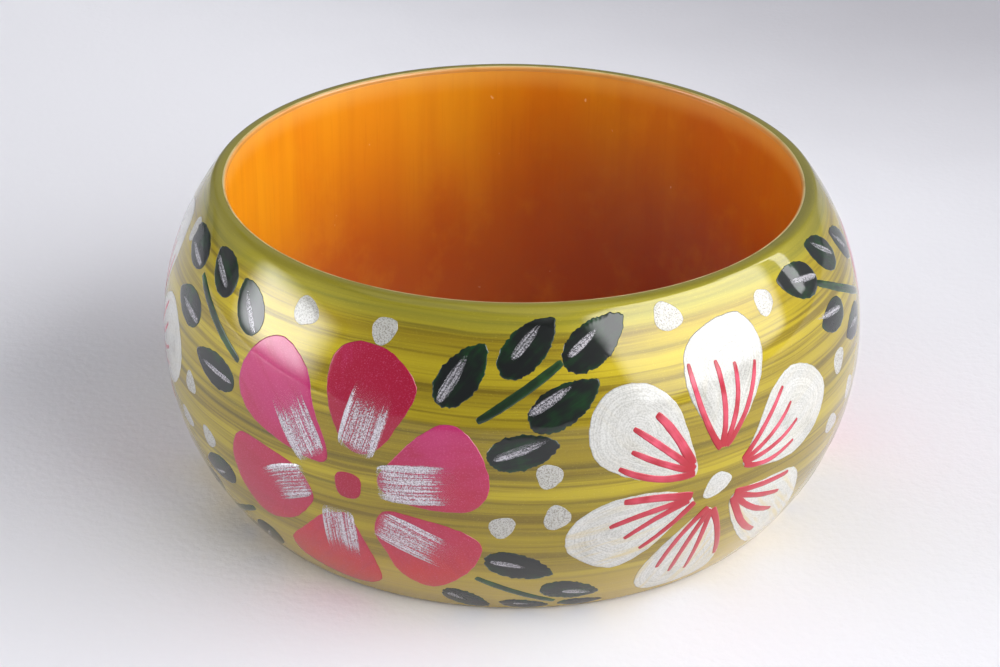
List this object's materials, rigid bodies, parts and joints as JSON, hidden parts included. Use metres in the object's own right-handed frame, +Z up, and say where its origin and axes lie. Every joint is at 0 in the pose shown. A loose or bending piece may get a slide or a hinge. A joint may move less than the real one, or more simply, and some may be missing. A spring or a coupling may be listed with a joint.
{
  "type": "bangle bracelet",
  "caption": "Rigid turned-wood bangle with a rounded belly, olive-gold lacquer painted with pink and white flowers and dark leaf sprigs, and an orange bore.",
  "frame": {"origin": "the bore's centre on the plane of the lower rim, which it rests on", "axes": "+Z up along the bore's axis; -Y is the front of the painting, between a pink and a white flower"},
  "size_m": [0.0823, 0.0822, 0.037],
  "materials": {
    "turned_wood": "fine-grained turned hardwood, sanded",
    "cream_primer": "cream undercoat under varnish, satin",
    "olive_enamel": "olive-gold metallic enamel brushed on round the ring, darker streaks, clear gloss varnish over it",
    "orange_lacquer": "orange stained lacquer with the grain showing along the bore, semi-gloss",
    "pink_enamel": "pearly crimson to coral pink enamel under gloss varnish",
    "white_enamel": "pearl white enamel with fine brush grain under gloss varnish",
    "silver_enamel": "sandy silver-white metallic enamel, dry-brushed, under gloss varnish",
    "red_enamel": "translucent rose-red enamel strokes under gloss varnish",
    "leaf_enamel": "near-black green enamel under gloss varnish",
    "stem_enamel": "dark green enamel under gloss varnish"
  },
  "bodies": {
    "root": {"wood_ring": "turned_wood", "primer_coat": "cream_primer", "base_coat": "olive_enamel", "bore_lacquer": "orange_lacquer", "front_pink_petals": "pink_enamel", "front_pink_spot": "pink_enamel", "front_pink_brushwork": "silver_enamel", "right_pink_petals": "pink_enamel", "right_pink_spot": "pink_enamel", "right_pink_brushwork": "silver_enamel", "rear_pink_petals": "pink_enamel", "rear_pink_spot": "pink_enamel", "rear_pink_brushwork": "silver_enamel", "front_white_petals": "white_enamel", "front_white_spot": "white_enamel", "front_white_veins": "red_enamel", "rear_white_petals": "white_enamel", "rear_white_spot": "white_enamel", "rear_white_veins": "red_enamel", "left_white_petals": "white_enamel", "left_white_spot": "white_enamel", "left_white_veins": "red_enamel", "front_upper_leaves": "leaf_enamel", "front_upper_stem": "stem_enamel", "front_upper_highlights": "silver_enamel", "front_lower_leaves": "leaf_enamel", "front_lower_stem": "stem_enamel", "front_lower_highlights": "silver_enamel", "right_upper_leaves": "leaf_enamel", "right_upper_stem": "stem_enamel", "right_upper_highlights": "silver_enamel", "right_lower_leaves": "leaf_enamel", "right_lower_stem": "stem_enamel", "right_lower_highlights": "silver_enamel", "right_rear_upper_leaves": "leaf_enamel", "right_rear_upper_stem": "stem_enamel", "right_rear_upper_highlights": "silver_enamel", "right_rear_lower_leaves": "leaf_enamel", "right_rear_lower_stem": "stem_enamel", "right_rear_lower_highlights": "silver_enamel", "rear_upper_leaves": "leaf_enamel", "rear_upper_stem": "stem_enamel", "rear_upper_highlights": "silver_enamel", "rear_lower_leaves": "leaf_enamel", "rear_lower_stem": "stem_enamel", "rear_lower_highlights": "silver_enamel", "left_rear_upper_leaves": "leaf_enamel", "left_rear_upper_stem": "stem_enamel", "left_rear_upper_highlights": "silver_enamel", "left_rear_lower_leaves": "leaf_enamel", "left_rear_lower_stem": "stem_enamel", "left_rear_lower_highlights": "silver_enamel", "left_upper_leaves": "leaf_enamel", "left_upper_stem": "stem_enamel", "left_upper_highlights": "silver_enamel", "left_lower_leaves": "leaf_enamel", "left_lower_stem": "stem_enamel", "left_lower_highlights": "silver_enamel", "silver_dots": "silver_enamel"}
  },
  "joints": []
}
